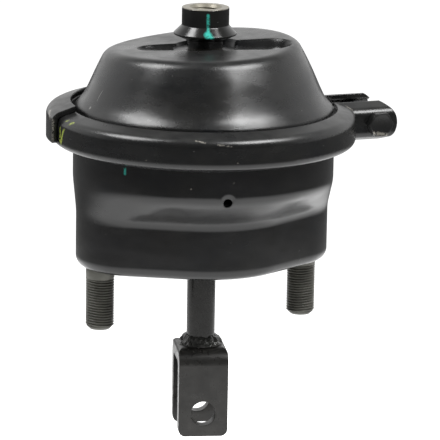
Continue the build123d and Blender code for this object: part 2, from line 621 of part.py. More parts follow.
def clevis():
    """Forged fork with its two bends, cut to the fork's front view and bored for rod and pin."""
    span, gap, width = CLEVIS_HALF_SPAN, CLEVIS_HALF_GAP, CLEVIS_HALF_WIDTH
    top, low, inside = CLEVIS_TOP_Z, CLEVIS_BOTTOM_Z, CLEVIS_TOP_Z - CLEVIS_BASE
    side = profile([(-span, low, 0), (-span, top, CLEVIS_BEND_R), (span, top, CLEVIS_BEND_R), (span, low, 0),
                    (gap, low, 0), (gap, inside, CLEVIS_INSIDE_R), (-gap, inside, CLEVIS_INSIDE_R), (-gap, low, 0)])
    fork = extrude(side, width, both=True)
    front = profile([(-width, low, 0), (-width, top, CLEVIS_TOP_CORNER_R), (width, top, CLEVIS_TOP_CORNER_R),
                     (width, low, 0)])
    front = fillet(front.vertices().group_by(Axis.Z)[0], CLEVIS_FOOT_R)
    fork &= extrude(front, 2 * span, both=True).rotate(Axis.Z, 90)
    fork -= Pos(0, 0, top) * Cylinder(ROD_R + SEAT_GAP, THROUGH)
    fork -= Pos(0, 0, PIN_Z) * Cylinder(PIN_R, THROUGH, rotation=(0, 90, 0))
    return fork.rotate(Axis.Z, CLEVIS_AZIMUTH)


def clevis_weld():
    inner = ROD_R + SEAT_GAP
    base = CLEVIS_TOP_Z + SEAT_GAP
    inset, height, radius = WELD_SHOULDER
    return turned([(inner, base, 0), (WELD_R, base, 0), (WELD_R - inset, base + height, radius),
                   (inner + WELD_TOP_WIDTH, WELD_TOP_Z, 0), (inner, WELD_TOP_Z, 0)])


NODES = {
    "pressure_housing": pressure_housing,
    "inlet_boss": inlet_boss,
    "boss_weld": boss_weld,
    "clamp_band_front": clamp_band_front,
    "clamp_band_rear": clamp_band_rear,
    "clamp_bolt": clamp_bolt,
    "clamp_nut": clamp_nut,
    "diaphragm": diaphragm,
    "push_plate": push_plate,
    "plate_weld": plate_weld,
    "push_rod": push_rod,
    "return_spring": return_spring,
    "non_pressure_housing": non_pressure_housing,
    "reinforcement_plate": reinforcement_plate,
    "mounting_stud_left": lambda: stud_solid(-1),
    "mounting_stud_right": lambda: stud_solid(1),
    "rod_guide": rod_guide,
    "dust_seal": dust_seal,
    "seal_retainer": seal_retainer,
    "clevis": clevis,
    "clevis_weld": clevis_weld,
}

for name, make in NODES.items():
    piece = make()
    export_step(piece, f"parts/{name}.step")
    solids = piece.solids()
    print(name, len(solids), round(sum(s.volume for s in solids), 1), flush=True)
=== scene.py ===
import math

import bmesh
import bpy
from mathutils import Matrix, Vector
from mathutils.noise import fractal


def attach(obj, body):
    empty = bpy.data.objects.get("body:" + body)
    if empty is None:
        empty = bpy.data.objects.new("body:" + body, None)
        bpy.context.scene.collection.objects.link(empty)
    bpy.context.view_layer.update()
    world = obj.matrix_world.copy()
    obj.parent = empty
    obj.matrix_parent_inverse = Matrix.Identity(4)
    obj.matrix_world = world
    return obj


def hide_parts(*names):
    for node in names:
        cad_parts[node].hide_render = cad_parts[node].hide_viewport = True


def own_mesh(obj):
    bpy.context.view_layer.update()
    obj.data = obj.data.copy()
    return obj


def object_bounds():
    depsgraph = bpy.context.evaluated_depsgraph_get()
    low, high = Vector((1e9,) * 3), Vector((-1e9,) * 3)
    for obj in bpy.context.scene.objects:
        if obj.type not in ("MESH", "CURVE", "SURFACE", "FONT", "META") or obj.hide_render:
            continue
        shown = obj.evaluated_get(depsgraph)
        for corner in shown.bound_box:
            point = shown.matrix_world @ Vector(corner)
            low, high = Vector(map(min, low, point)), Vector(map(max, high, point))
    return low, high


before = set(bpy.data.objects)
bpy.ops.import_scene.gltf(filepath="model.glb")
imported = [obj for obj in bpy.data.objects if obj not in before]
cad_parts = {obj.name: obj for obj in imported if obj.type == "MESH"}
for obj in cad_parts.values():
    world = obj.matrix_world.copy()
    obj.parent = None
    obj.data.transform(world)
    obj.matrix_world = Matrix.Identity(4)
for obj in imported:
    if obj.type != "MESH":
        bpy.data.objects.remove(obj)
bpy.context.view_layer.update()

# Everything is in metres in the part's own frame: origin at the centre of the mounting face,
# +Z towards the air port, +X along the stud line, -Y towards the vent hole.
MM = 0.001

# Camera, from the photograph's perspective
CAMERA_AT = Vector((-0.73543, -1.96914, 0.49921))
CAMERA_RIGHT = Vector((0.93621063, -0.35105239, 0.01648841))
CAMERA_UP = Vector((0.06250975, 0.21250703, 0.97515809))
CAMERA_LENS = 313.86
CAMERA_SHIFT_X = -0.0027
TOWARDS_CAMERA = math.atan2(CAMERA_AT.y, CAMERA_AT.x)

# The room. White objects behind the part are mirrored in it, and a dim room is in front of it.
ROOM_LEVEL = 0.17                # share of white
BACKDROP_SIDE = (0.45, -0.15)    # from none to full, as cosine to the camera's direction
BACKDROP_HEIGHT = (0.75, 0.45)   # from none to full, as sine of the elevation
WORLD_FILL = 0.5
LAMP_TARGET = Vector((0, 0, 90 * MM))
LAMP_DISTANCE = 1.3
# Name, azimuth counted from the camera to its right, elevation, width, height, watts
LAMPS = (("softbox_left", -80.0, 52.0, 0.62, 0.62, 16.0), ("softbox_right", 56.0, 52.0, 0.75, 0.55, 22.0))

# The floor: a white table round the part that fades out between two distances from its middle.
# Each pair of values below holds for the table and for the floor beyond it.
TABLE_R = (0.33, 0.74)
FLOOR_HALF = 6.0
FLOOR_GAP = 0.2 * MM
FLOOR_TONE = (0.8, 0.12)
FLOOR_GLOW = (0.6, 1.0)
FLOOR_MIRRORED = (0.35, 0.04)

# Threads: a corner of the profile per entry, as share of the pitch and share of the depth
THREAD_CORNERS = ((0.0, 0.0), (0.13, 0.0), (0.445, 1.0), (0.685, 1.0))
AROUND = 48
THREAD_PITCH = 1.5 * MM
THREAD_DEPTH = 0.92 * MM

# Mounting studs
STUD_R = 8.0 * MM
STUD_X = 60.325 * MM
STUD_TIP_Z = -35.0 * MM
STUD_COLLAR_Z = -5.5 * MM
STUD_TIP_CHAMFER = 2.3 * MM
STUD_SHOULDER_R = 8.6 * MM
STUD_SHOULDER_Z = 3 * MM
STUD_SHANK_R = 7.4 * MM
STUD_HEAD_R = 12.5 * MM
STUD_HEAD_LOW = 7.02 * MM
STUD_HEAD_TOP = 13.02 * MM
STUD_HEAD_BEVEL = MM
STUD_HEAD_FLAT = 65.6 * MM - STUD_X

# Air port, radius and height in mm, with the corner's fillet
BOSS_OUTSIDE = ((5.0, 115.4, 0), (9.5, 115.4, 0), (9.5, 120.3, 0), (10.7, 126.2, 0.8), (17.55, 129.1, 0.3),
                (17.55, 130.0, 0.3), (13.2, 134.3, 0.8), (13.2, 144.4, 0.6), (9.4, 144.4, 0))
PORT_R = 7.19
PORT_MAJOR_R = 8.0
PORT_LOW_Z = 129.0
PORT_HIGH_Z = 143.0
BOSS_INSIDE = ((PORT_R, PORT_LOW_Z), (PORT_R, 127.4), (5.0, 126.1), (5.0, 115.4))

# Clamp bolt and its hexagon head, whose cone and dished end are shares of the width across flats
BOLT_X = 96.5 * MM
JOINT_Z = 77.3 * MM
LUG_FACE_Y = 22.0 * MM
TOUCH = 0.02 * MM
HEX_FLATS = 13.0 * MM
HEX_CONE_START = 0.485
HEX_TOP = 0.46
HEX_DISH = 0.43
HEX_DISH_DEPTH = 0.15 * MM
BOLT_HEAD = 5.3 * MM
BOLT_R = 4.0 * MM
BOLT_DEPTH = 0.76 * MM
BOLT_PITCH = 1.25 * MM
BOLT_THREAD = 22.0 * MM
BOLT_TIP_CHAMFER = 0.8 * MM
BOLT_END_Y = 31.5 * MM

# Weld of the clevis, in mm
WELD_R = 13.0
WELD_TOE_R = 12.6
WELD_NARROWING = 4.4
WELD_LOW_Z = -47.98
WELD_TOP_Z = -42.5
WELD_TOP_MARGIN = 0.6
WELD_BORE_R = 8.03
WELD_LEAST_R = 8.1
WELD_BORE_DEPTH = 2.0
WELD_RIPPLES = 11
WELD_RIPPLE_DEPTH = 0.22

# Travel of the push rod
STROKE = 57.0 * MM

# Colours of the gloss paint, of dust and specks on it, and of the steel where it is rubbed off, which also
# serves as a painted highlight on the rear band at the hook
PAINT_BLUE = (0.0030, 0.0034, 0.0040)
PAINT_BROWN = (0.0088, 0.0086, 0.0076)
DUST = (0.055, 0.055, 0.053)
SPECKS = (0.14, 0.14, 0.135)
RUBBED_STEEL_AND_HIGHLIGHT = (0.36, 0.34, 0.30)
PORT_STEEL = (0.20, 0.185, 0.15)
TEAL = (0.03, 0.33, 0.27)
LIME = (0.30, 0.36, 0.06)
SCUFF = (0.16, 0.16, 0.15)
SPOT = (0.2, 0.2, 0.19)


# ---------------------------------------------------------------- materials

def new_material(name):
    material = bpy.data.materials.new(name)
    material.use_nodes = True
    nodes = material.node_tree.nodes
    return material, nodes, material.node_tree.links, nodes["Principled BSDF"]


def noise(nodes, links, scale, detail=2.0, rough=0.5, stretch=None):
    """Noise texture's factor output in the piece's own coordinates."""
    where = nodes.new("ShaderNodeTexCoord")
    texture = nodes.new("ShaderNodeTexNoise")
    texture.inputs["Scale"].default_value = scale
    texture.inputs["Detail"].default_value = detail
    texture.inputs["Roughness"].default_value = rough
    source = where.outputs["Object"]
    if stretch:
        mapping = nodes.new("ShaderNodeMapping")
        mapping.inputs["Scale"].default_value = stretch
        links.new(source, mapping.inputs["Vector"])
        source = mapping.outputs["Vector"]
    links.new(source, texture.inputs["Vector"])
    return texture.outputs["Fac"]


def ramp(nodes, links, source, low, high, out_low=0.0, out_high=1.0):
    """Maps source from low..high to out_low..out_high, clamped."""
    remap = nodes.new("ShaderNodeMapRange")
    for socket, value in zip(("From Min", "From Max", "To Min", "To Max"), (low, high, out_low, out_high)):
        remap.inputs[socket].default_value = value
    links.new(source, remap.inputs["Value"])
    return remap.outputs["Result"]


def math_node(nodes, links, operation, *values):
    """Maths on plain numbers and sockets."""
    node = nodes.new("ShaderNodeMath")
    node.operation = operation
    for i, value in enumerate(values):
        if isinstance(value, (int, float)):
            node.inputs[i].default_value = value
        else:
            links.new(value, node.inputs[i])
    return node.outputs[0]


def mix_colour(nodes, links, factor, low, high):
    mix = nodes.new("ShaderNodeMix")
    mix.data_type = "RGBA"
    links.new(factor, mix.inputs["Factor"])
    for socket, value in (("A", low), ("B", high)):
        found = [s for s in mix.inputs if s.name == socket and s.type == "RGBA"][0]
        if isinstance(value, tuple):
            found.default_value = (*value, 1.0)
        else:
            links.new(value, found)
    return [s for s in mix.outputs if s.type == "RGBA"][0]


def rounded_normal(nodes, links, radius, height=None, strength=0.1, distance=0.2 * MM):
    """Normal with softened edges and, on top, a bump from height."""
    bevel = nodes.new("ShaderNodeBevel")
    bevel.samples = 6
    bevel.inputs["Radius"].default_value = radius
    if height is None:
        return bevel.outputs["Normal"]
    bump = nodes.new("ShaderNodeBump")
    bump.inputs["Strength"].default_value = strength
    bump.inputs["Distance"].default_value = distance
    links.new(height, bump.inputs["Height"])
    links.new(bevel.outputs["Normal"], bump.inputs["Normal"])
    return bump.outputs["Normal"]


def segment_mask(nodes, links, start, end, radius, soft):
    """1 within radius of the line from start to end, fading over soft, all in mm of the part's frame."""
    start, end = Vector(start) * MM, Vector(end) * MM
    run = end - start
    where = nodes.new("ShaderNodeTexCoord")
    offset = vector_node(nodes, links, "SUBTRACT", where.outputs["Object"], start)
    along = vector_node(nodes, links, "DOT_PRODUCT", offset, run / max(run.length_squared, 1e-12))
    share = math_node(nodes, links, "MINIMUM", math_node(nodes, links, "MAXIMUM", along, 0.0), 1.0)
    nearest = nodes.new("ShaderNodeVectorMath")
    nearest.operation = "SCALE"
    nearest.inputs[0].default_value = run
    links.new(share, nearest.inputs["Scale"])
    gap = vector_node(nodes, links, "DISTANCE", offset, nearest.outputs["Vector"])
    return ramp(nodes, links, gap, (radius + soft) * MM, (radius - soft) * MM)


def vector_node(nodes, links, operation, *values):
    """Vector maths on constants and sockets."""
    node = nodes.new("ShaderNodeVectorMath")
    node.operation = operation
    for i, value in enumerate(values):
        if isinstance(value, Vector):
            node.inputs[i].default_value = value
        else:
            links.new(value, node.inputs[i])
    return node.outputs["Value" if operation in ("DISTANCE", "DOT_PRODUCT") else "Vector"]


def stroke_mask(nodes, links, points, radius, soft):
    """1 along the line through the points, or round a single point."""
    mask = None
    for start, end in zip(points, points[1:] if len(points) > 1 else points):
        part = segment_mask(nodes, links, start, end, radius, soft)
        mask = part if mask is None else math_node(nodes, links, "MAXIMUM", mask, part)
    return mask


def broken(nodes, links, mask, scale, low=0.42, high=0.55):
    """Breaks a mask up with noise, as dry paint or scuffed metal is broken up."""
    holes = ramp(nodes, links, noise(nodes, links, scale, 3.0, 0.6), low, high)
    return math_node(nodes, links, "MULTIPLY", mask, holes)


def up_facing(nodes, links, low, high):
    """0 where the normal's Z is low or less, 1 where it is high or more."""
    where = nodes.new("ShaderNodeTexCoord")
    split = nodes.new("ShaderNodeSeparateXYZ")
    links.new(where.outputs["Normal"], split.inputs[0])
    return ramp(nodes, links, split.outputs["Z"], low, high)


def gloss_paint(name, edge=1.2 * MM, marks=(), bare=(), dusty=0.3, rough=(0.15, 0.30), wave=0.12):
    """Glossy black dip paint on drawn steel: orange peel, drawing waves, dust, marks and bare nicks.

    marks are (points, radius, soft, colour) strokes of other paint, bare are (points, radius, soft) places
    rubbed to the metal; at the rear band's hook they are a painted highlight in the same bare-steel
    colour.
    """
    material, nodes, links, shader = new_material(name)
    cloud = noise(nodes, links, 38.0, 6.0, 0.68)
    base = mix_colour(nodes, links, ramp(nodes, links, cloud, 0.35, 0.75), PAINT_BLUE, PAINT_BROWN)
    dust = ramp(nodes, links, noise(nodes, links, 120.0, 5.0, 0.7), 0.40, 0.72, 0.35, 1.0)
    dust = math_node(nodes, links, "MULTIPLY", dust, up_facing(nodes, links, 0.35, 0.95))
    dust = math_node(nodes, links, "MULTIPLY", dust, dusty)
    base = mix_colour(nodes, links, dust, base, DUST)
    specks = ramp(nodes, links, noise(nodes, links, 520.0, 1.0, 0.4), 0.79, 0.81, 0.0, 0.30)
    base = mix_colour(nodes, links, specks, base, SPECKS)
    for points, radius, soft, colour in marks:
        mask = broken(nodes, links, stroke_mask(nodes, links, points, radius, soft), 650.0, 0.33, 0.5)
        base = mix_colour(nodes, links, mask, base, colour)
    smear = noise(nodes, links, 30.0, 5.0, 0.65, stretch=(1.0, 1.0, 2.5))
    smear = ramp(nodes, links, smear, 0.3, 0.75, *rough)
    roughness = math_node(nodes, links, "ADD", smear, math_node(nodes, links, "MULTIPLY", dust, 0.5))
    # Bare-steel colour and metallic: rubbed places, and on the rear band's hook a painted highlight
    if bare:
        metal = None
        for points, radius, soft in bare:
            mask = broken(nodes, links, stroke_mask(nodes, links, points, radius, soft), 900.0)
            metal = mask if metal is None else math_node(nodes, links, "MAXIMUM", metal, mask)
        base = mix_colour(nodes, links, metal, base, RUBBED_STEEL_AND_HIGHLIGHT)
        links.new(math_node(nodes, links, "MULTIPLY", metal, 0.8), shader.inputs["Metallic"])
    links.new(base, shader.inputs["Base Color"])
    links.new(roughness, shader.inputs["Roughness"])
    peel = noise(nodes, links, 240.0, 2.0, 0.5)
    waves = noise(nodes, links, 26.0, 2.0, 0.45, stretch=(1.0, 1.0, 1.8))
    normal = rounded_normal(nodes, links, edge, peel, 0.06, 0.25 * MM)
    bump = nodes.new("ShaderNodeBump")
    bump.inputs["Strength"].default_value = wave
    bump.inputs["Distance"].default_value = 2.0 * MM
    links.new(waves, bump.inputs["Height"])
    links.new(normal, bump.inputs["Normal"])
    links.new(bump.outputs["Normal"], shader.inputs["Normal"])
    return material


def dark_steel(name, tone=(0.030, 0.029, 0.026), edge=0.5 * MM, rough=(0.32, 0.5)):
    """Semi-matt dark coat on machined steel, slightly brown, with light scuffs."""
    material, nodes, links, shader = new_material(name)
    blotch = ramp(nodes, links, noise(nodes, links, 90.0, 5.0, 0.6), 0.35, 0.7)
    light = tuple(min(1.0, c * 1.7) for c in tone)
    links.new(mix_colour(nodes, links, blotch, tone, light), shader.inputs["Base Color"])
    grain = noise(nodes, links, 300.0, 3.0, 0.6)
    links.new(ramp(nodes, links, grain, 0.3, 0.7, *rough), shader.inputs["Roughness"])
    shader.inputs["Metallic"].default_value = 0.35
    links.new(rounded_normal(nodes, links, edge, grain, 0.12, 0.15 * MM), shader.inputs["Normal"])
    return material


def bare_steel(name, tone=(0.42, 0.41, 0.39), rough=(0.25, 0.42), edge=0.3 * MM):
    """Zinc-plated or drawn bright steel with fine streaks along Z."""
    material, nodes, links, shader = new_material(name)
    streak = noise(nodes, links, 400.0, 3.0, 0.6, stretch=(1.0, 1.0, 6.0))
    dark = tuple(c * 0.6 for c in tone)
    colour = mix_colour(nodes, links, ramp(nodes, links, streak, 0.35, 0.7), dark, tone)
    links.new(colour, shader.inputs["Base Color"])
    links.new(ramp(nodes, links, streak, 0.3, 0.7, *rough), shader.inputs["Roughness"])
    shader.inputs["Metallic"].default_value = 0.9
    links.new(rounded_normal(nodes, links, edge, streak, 0.08, 0.1 * MM), shader.inputs["Normal"])
    return material


def rubber(name):
    material, nodes, links, shader = new_material(name)
    weave = noise(nodes, links, 500.0, 2.0, 0.5)
    colour = mix_colour(nodes, links, weave, (0.012, 0.012, 0.012), (0.03, 0.03, 0.03))
    links.new(colour, shader.inputs["Base Color"])
    links.new(ramp(nodes, links, weave, 0.3, 0.7, 0.6, 0.8), shader.inputs["Roughness"])
    links.new(rounded_normal(nodes, links, 0.5 * MM, weave, 0.2, 0.2 * MM), shader.inputs["Normal"])
    return material


def nylon(name):
    material, nodes, links, shader = new_material(name)
    cloud = noise(nodes, links, 60.0, 3.0, 0.5)
    colour = mix_colour(nodes, links, cloud, (0.6, 0.58, 0.5), (0.74, 0.72, 0.64))
    links.new(colour, shader.inputs["Base Color"])
    links.new(ramp(nodes, links, cloud, 0.3, 0.7, 0.4, 0.5), shader.inputs["Roughness"])
    links.new(rounded_normal(nodes, links, 0.4 * MM, cloud, 0.05), shader.inputs["Normal"])
    return material


def bare_mouth(material):
    """Adds the machined, unpainted rim and bore of the port to the boss paint."""
    nodes, links = material.node_tree.nodes, material.node_tree.links
    shader = nodes["Principled BSDF"]
    where = nodes.new("ShaderNodeTexCoord")
    split = nodes.new("ShaderNodeSeparateXYZ")
    links.new(where.outputs["Object"], split.inputs[0])
    rim = ramp(nodes, links, split.outputs["Z"], 143.9 * MM, 144.35 * MM)
    flat = nodes.new("ShaderNodeCombineXYZ")
    links.new(split.outputs["X"], flat.inputs["X"])
    links.new(split.outputs["Y"], flat.inputs["Y"])
    radius = vector_node(nodes, links, "DISTANCE", flat.outputs["Vector"], Vector((0.0, 0.0, 0.0)))
    bore = math_node(nodes, links, "MULTIPLY", ramp(nodes, links, radius, 9.9 * MM, 9.5 * MM),
                     ramp(nodes, links, split.outputs["Z"], 120.0 * MM, 126.0 * MM))
    bare = math_node(nodes, links, "MAXIMUM", broken(nodes, links, rim, 500.0, 0.2, 0.45), bore)
    painted = shader.inputs["Base Color"].links[0].from_socket
    links.new(mix_colour(nodes, links, bare, painted, PORT_STEEL), shader.inputs["Base Color"])
    links.new(math_node(nodes, links, "MULTIPLY", bare, 0.45), shader.inputs["Metallic"])
    rough = shader.inputs["Roughness"].links[0].from_socket
    links.new(math_node(nodes, links, "MAXIMUM", rough, math_node(nodes, links, "MULTIPLY", bare, 0.38)),
              shader.inputs["Roughness"])


def dress(node, material):
    """Gives a carried-over CAD node its material."""
    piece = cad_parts[node]
    piece.data.materials.clear()
    piece.data.materials.append(material)


# ---------------------------------------------------------------- mesh helpers

def new_piece(name, vertices, faces, material, smooth=True):
    mesh = bpy.data.meshes.new(name)
    mesh.from_pydata([tuple(v) for v in vertices], [], faces)
    mesh.update()
    for polygon in mesh.polygons:
        polygon.use_smooth = smooth
    piece = bpy.data.objects.new(name, mesh)
    bpy.context.scene.collection.objects.link(piece)
    mesh.materials.append(material)
    return piece


def sharpen(piece, angle=35.0):
    """Smooth shading with crisp edges above this angle, after coincident points are joined."""
    mesh = bmesh.new()
    mesh.from_mesh(piece.data)
    bmesh.ops.remove_doubles(mesh, verts=mesh.verts, dist=0.004 * MM)
    bmesh.ops.dissolve_degenerate(mesh, edges=mesh.edges, dist=0.002 * MM)
    bmesh.ops.recalc_face_normals(mesh, faces=mesh.faces)
    mesh.to_mesh(piece.data)
    mesh.free()
    for polygon in piece.data.polygons:
        polygon.use_smooth = True
    piece.data.set_sharp_from_angle(angle=math.radians(angle))
    return piece


def circle(radius, z, around=AROUND):
    angles = [2 * math.pi * k / around for k in range(around)]
    return [Vector((radius * math.cos(angle), radius * math.sin(angle), z)) for angle in angles]


def skin(rings, seam=0, cap_low=True, cap_high=True):
    """Vertices and faces of a tube through equal rings; the seam climbs that many rings per turn."""
    around = len(rings[0])
    vertices = [v for ring in rings for v in ring]
    last = len(rings) - 1
    faces = []
    for i in range(last):
        for k in range(around):
            step = seam if k == around - 1 else 0
            near, far = min(i + step, last), min(i + 1 + step, last)
            b, c = near * around + (k + 1) % around, far * around + (k + 1) % around
            quad = (i * around + k, b, c, (i + 1) * around + k)
            if near == far:
                quad = (i * around + k, b, (i + 1) * around + k)
            faces.append(quad)
    if cap_low:
        faces.append(tuple(reversed(range(around))))
    if cap_high:
        faces.append(tuple(range(len(vertices) - around, len(vertices))))
    return vertices, faces


def helix_rings(low, high, pitch, radius_at):
    """Rings of a thread between two heights. radius_at(share, z) gives the radius at crest 0 or root 1."""
    rings = []
    turns = int((high - low) / pitch) + 2
    for turn in range(-1, turns):
        for offset, share in THREAD_CORNERS:
            ring = []
            for k in range(AROUND):
                z = low + pitch * (turn + offset + k / AROUND)
                z = min(max(z, low), high)
                radius = radius_at(share, z)
                angle = 2 * math.pi * k / AROUND
                ring.append(Vector((radius * math.cos(angle), radius * math.sin(angle), z)))
            rings.append(ring)
    return rings


def rod_thread(outer, depth, pitch, low, high, tip, fade):
    """Outside thread that is chamfered at its low end by tip and runs out over fade at its high end."""
    def radius_at(share, z):
        radius = outer - depth * share * min(1.0, (high - z) / fade)
        return min(radius, outer - tip + (z - low))
    return helix_rings(low, high, pitch, radius_at)


def add_tube(parts, rings, move, seam=0, cap_low=True, cap_high=True):
    """Adds the skin of the rings, moved, to parts, which holds vertices and faces."""
    vertices, faces = skin(rings, seam, cap_low, cap_high)
    start = len(parts[0])
    parts[0].extend(move @ v for v in vertices)
    parts[1].extend(tuple(start + i for i in face) for face in faces)


def threaded_stud(name, side, material):
    """The stud with its real M16x1.5 helix, its shank in the floor and its clipped head."""
    parts = ([], [])
    move = Matrix.Translation((side * STUD_X, 0, 0)) @ Matrix.Scale(side, 4, (1, 0, 0))
    thread = rod_thread(STUD_R, THREAD_DEPTH, THREAD_PITCH, STUD_TIP_Z, STUD_COLLAR_Z, STUD_TIP_CHAMFER,
                        THREAD_PITCH)
    add_tube(parts, thread, move, seam=len(THREAD_CORNERS), cap_high=False)
    body = [circle(radius, z) for radius, z in (
        (STUD_R, STUD_COLLAR_Z), (STUD_R, 0.0), (STUD_SHOULDER_R, 0.0), (STUD_SHOULDER_R, STUD_SHOULDER_Z),
        (STUD_SHANK_R, STUD_SHOULDER_Z), (STUD_SHANK_R, STUD_HEAD_LOW))]
    for radius, z in ((STUD_HEAD_R, STUD_HEAD_LOW), (STUD_HEAD_R, STUD_HEAD_TOP - STUD_HEAD_BEVEL),
                      (STUD_HEAD_R - STUD_HEAD_BEVEL, STUD_HEAD_TOP)):
        ring = circle(radius, z)
        for v in ring:
            v.x = min(v.x, STUD_HEAD_FLAT)
        body.append(ring)
    add_tube(parts, body, move, cap_low=False)
    return sharpen(new_piece(name, *parts, material))


def hexagon_rings(flats, height):
    """A hexagon with a point along +Y, its outer corners taken off by the usual 30 degree cone."""
    low, edge = [], []
    for k in range(AROUND):
        angle = 2 * math.pi * k / AROUND
        from_flat = (angle + math.pi / 6 + math.pi / 6) % (math.pi / 3) - math.pi / 6
        radius = flats / 2 / math.cos(from_flat)
        drop = max(0.0, (radius - flats * HEX_CONE_START) * math.tan(math.radians(30)))
        low.append(Vector((radius * math.cos(angle), radius * math.sin(angle), 0)))
        edge.append(Vector((radius * math.cos(angle), radius * math.sin(angle), height - drop)))
    return [low, edge, circle(flats * HEX_TOP, height), circle(flats * HEX_DISH, height - HEX_DISH_DEPTH)]


def along_bolt(y, outwards):
    """Frame on the bolt's axis at this y, its +Z pointing towards outwards * Y and its +Y up."""
    z = Vector((0, outwards, 0))
    up = Vector((0, 0, 1))
    x = up.cross(z)
    turn = Matrix((x, up, z)).transposed().to_4x4()
    return Matrix.Translation((BOLT_X, y, JOINT_Z)) @ turn


def threaded_bolt(name, material):
    """The clamp bolt: its head on the front lug and its M8 thread towards the nut."""
    parts = ([], [])
    head_at = -LUG_FACE_Y - TOUCH
    head = along_bolt(head_at, -1)
    add_tube(parts, hexagon_rings(HEX_FLATS, BOLT_HEAD), head)
    end = along_bolt(BOLT_END_Y, -1)
    length = BOLT_END_Y - head_at
    thread = rod_thread(BOLT_R, BOLT_DEPTH, BOLT_PITCH, 0.0, BOLT_THREAD, BOLT_TIP_CHAMFER, BOLT_PITCH)
    add_tube(parts, thread, end, seam=len(THREAD_CORNERS), cap_high=False)
    add_tube(parts, [circle(BOLT_R, BOLT_THREAD), circle(BOLT_R, length)], end, cap_low=False)
    return sharpen(new_piece(name, *parts, material))


def lathe(points):
    """Rings through the (radius, z) points, which are in mm."""
    return [circle(radius * MM, z * MM) for radius, z in points]


def round_corners(points, steps=5):
    """Replaces each (radius, z, fillet) corner by a short arc."""
    out = []
    for i, (r, z, fillet) in enumerate(points):
        here = Vector((r, z))
        if not fillet or i in (0, len(points) - 1):
            out.append((r, z))
            continue
        before = (Vector(points[i - 1][:2]) - here).normalized()
        after = (Vector(points[i + 1][:2]) - here).normalized()
        angle = before.angle(after)
        reach = fillet / math.tan(angle / 2)
        first, last = here + before * reach, here + after * reach
        for k in range(steps + 1):
            t = k / steps
            p = first.lerp(here, t).lerp(here.lerp(last, t), t)
            out.append((p.x, p.y))
    return out


def threaded_boss(name, material):
    """The air port: the turned boss with its inside M16x1.5 thread."""
    parts = ([], [])
    outside = lathe(round_corners(BOSS_OUTSIDE) + [(PORT_MAJOR_R, PORT_HIGH_Z)])
    low, high = PORT_LOW_Z * MM, PORT_HIGH_Z * MM
    crest, root = PORT_R * MM, PORT_MAJOR_R * MM

    def radius_at(share, z):
        radius = crest + (root - crest) * share * min(1.0, (z - low) / THREAD_PITCH)
        return max(radius, root - (high - z))
    thread = helix_rings(low, high, THREAD_PITCH, radius_at)
    for rings, seam in ((outside, 0), (thread, len(THREAD_CORNERS)), (lathe(BOSS_INSIDE), 0)):
        add_tube(parts, rings, Matrix.Identity(4), seam, cap_low=False, cap_high=False)
    return sharpen(new_piece(name, *parts, material))


def weld_bead(name, material):
    """Hand-laid fillet weld round the rod: slanting ripples on a bead whose toe and top are uneven."""
    around, across = 240, 16
    height = WELD_TOP_Z - WELD_LOW_Z - WELD_TOP_MARGIN
    rings = []
    for j in range(across + 1):
        t = j / across
        crown = math.sin(math.pi * t)
        ring = []
        for k in range(around):
            angle = 2 * math.pi * k / around
            here = Vector((math.cos(angle), math.sin(angle), 0.6 * t))
            lump = fractal(here * 2.1 + Vector((3.1, 0.0, 0.0)), 1.0, 2.0, 3)
            grain = fractal(here * 9.0, 0.8, 2.0, 3)
            ripple = WELD_RIPPLE_DEPTH * abs(math.sin(WELD_RIPPLES * angle + 2.6 * t)) * crown
            radius = (WELD_TOE_R - WELD_NARROWING * t ** 1.1 + 0.9 * crown * (0.4 + lump) + ripple
                      + 0.12 * grain * crown + 0.6 * lump * (1 - t))
            z = WELD_LOW_Z + height * t + 0.4 * crown * lump + lump * t
            radius = min(max(radius, WELD_LEAST_R), WELD_R)
            z = min(max(z, WELD_LOW_Z), WELD_TOP_Z)
            ring.append(Vector((radius * MM * math.cos(angle), radius * MM * math.sin(angle), z * MM)))
        rings.append(ring)
    rings.append(circle(WELD_BORE_R * MM, (WELD_TOP_Z - WELD_BORE_DEPTH) * MM, around))
    rings.append(circle(WELD_BORE_R * MM, WELD_LOW_Z * MM, around))
    rings.append(rings[0])
    vertices, faces = skin(rings, cap_low=False, cap_high=False)
    return sharpen(new_piece(name, vertices, faces, material), 75.0)


# ---------------------------------------------------------------- the part

# Hand-made marks, rubbed places and a painted highlight, as lines through points in mm
DOME_SCRATCH = ((-62.9, -9.3, 102.2), (-64.3, -8.4, 99.4), (-66.0, -8.3, 96.1))
DOME_SPOT = ((-69.1, -5.5, 91.8),)
TEAL_RUN = ((-3.3, -12.9, 141.5), (-3.1, -13.1, 134.4), (-3.9, -14.8, 132.2))
TEAL_BLOB = ((-4.3, -15.6, 131.2), (-3.5, -17.4, 129.4))
TEAL_DRIP = ((-60.6, -40.7, 64.2), (-60.6, -40.7, 61.6))
LIME_STROKES = (((-82.0, -6.5, 85.1), (-84.2, -1.5, 80.5), (-84.9, -1.5, 73.0)),
                ((-81.6, -13.5, 85.4), (-84.3, -6.0, 79.6), (-84.9, -3.0, 72.5)))
RING_RUBS = (((-22.2, -81.6, 83.4), (-14.9, -83.2, 82.4)), ((-32.9, -76.3, 85.2), (-28.6, -78.9, 84.4)),
             ((-56.6, -63.4, 73.5),), ((-11.5, -84.2, 73.5),))
# Painted highlight: bare-steel colour on the rear band's rounded outer corner and along its outer wall at
# the hook, where the light falls on it
HOOK_PAINTED_HIGHLIGHT = (((-84.9, 16.9, 87.3), (-87.5, 8.0, 84.0)), ((-88.1, 3.0, 84.0), (-88.1, 3.0, 73.0)))
LUG_RUBS = (((79.1, -15.8, 87.0), (81.1, -19.9, 85.4)),)
BODY_NICKS = (((-31.4, -65.9, 56.5),), ((-9.1, -72.4, 59.9),))
BOLT_EDGE = ((92.0, -27.2, 73.0), (100.0, -27.0, 71.4))
BOLT_CORNER = ((96.5, -27.3, 69.9),)

